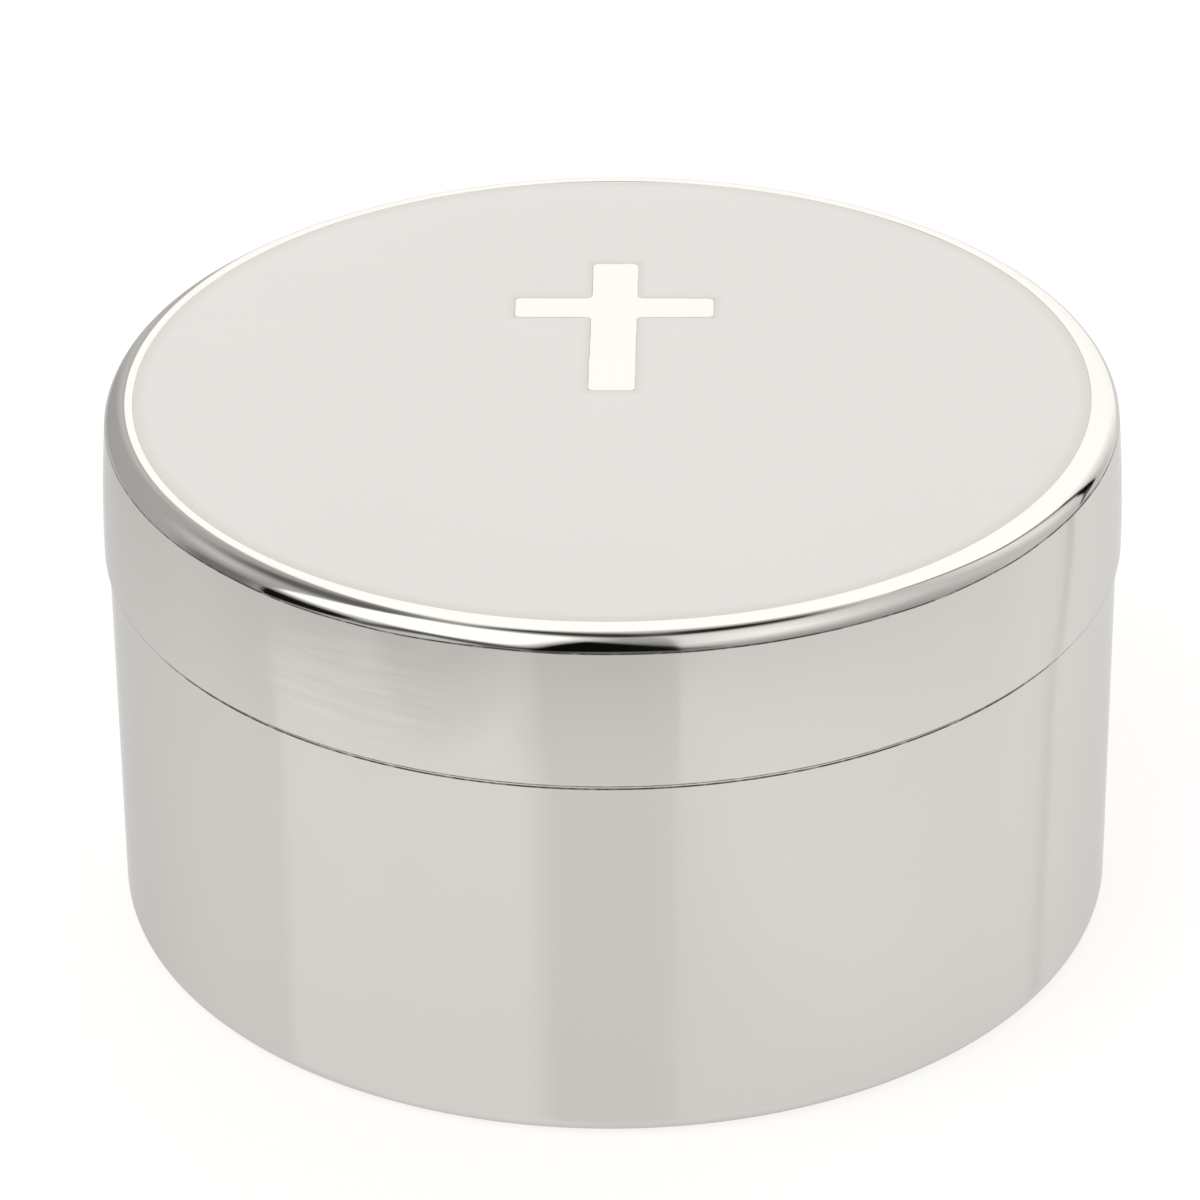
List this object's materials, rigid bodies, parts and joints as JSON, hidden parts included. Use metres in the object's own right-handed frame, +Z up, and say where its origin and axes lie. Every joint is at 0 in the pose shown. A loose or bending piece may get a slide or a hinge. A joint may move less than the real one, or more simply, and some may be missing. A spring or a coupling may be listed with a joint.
{
  "type": "rosary box",
  "caption": "Round lift-off-lid keepsake box of plated sheet metal, its lid filled flush with pale enamel round a plain cross, lined inside with velvet-covered card pads.",
  "frame": {"origin": "on the table plane, under the centre of the box", "axes": "+Z up along the axis that the lid lifts along; +Y to the back, the way the head of the cross points; +X to the right"},
  "size_m": [0.0698, 0.0698, 0.0378],
  "materials": {
    "silver_plate": "mirror-polished silver plate on brass",
    "enamel": "off-white enamel, ground flush and polished",
    "velvet": "short dark blue pile",
    "lining_card": "matte grey board",
    "wadding": "soft white wadding"
  },
  "bodies": {
    "base": {"base_shell": "silver_plate", "neck_ring": "silver_plate", "wall_card": "lining_card", "wall_velvet": "velvet", "floor_card": "lining_card", "floor_wadding": "wadding", "floor_velvet": "velvet"},
    "lid": {"lid_shell": "silver_plate", "enamel_fill": "enamel", "cross_inlay": "silver_plate", "lid_card": "lining_card", "lid_wadding": "wadding", "lid_velvet": "velvet"}
  },
  "joints": [
    {"name": "lid_lift", "type": "slide", "parent": "base", "child": "lid", "axis": [0, 0, 1], "range_m": [0, 0.045]}
  ]
}
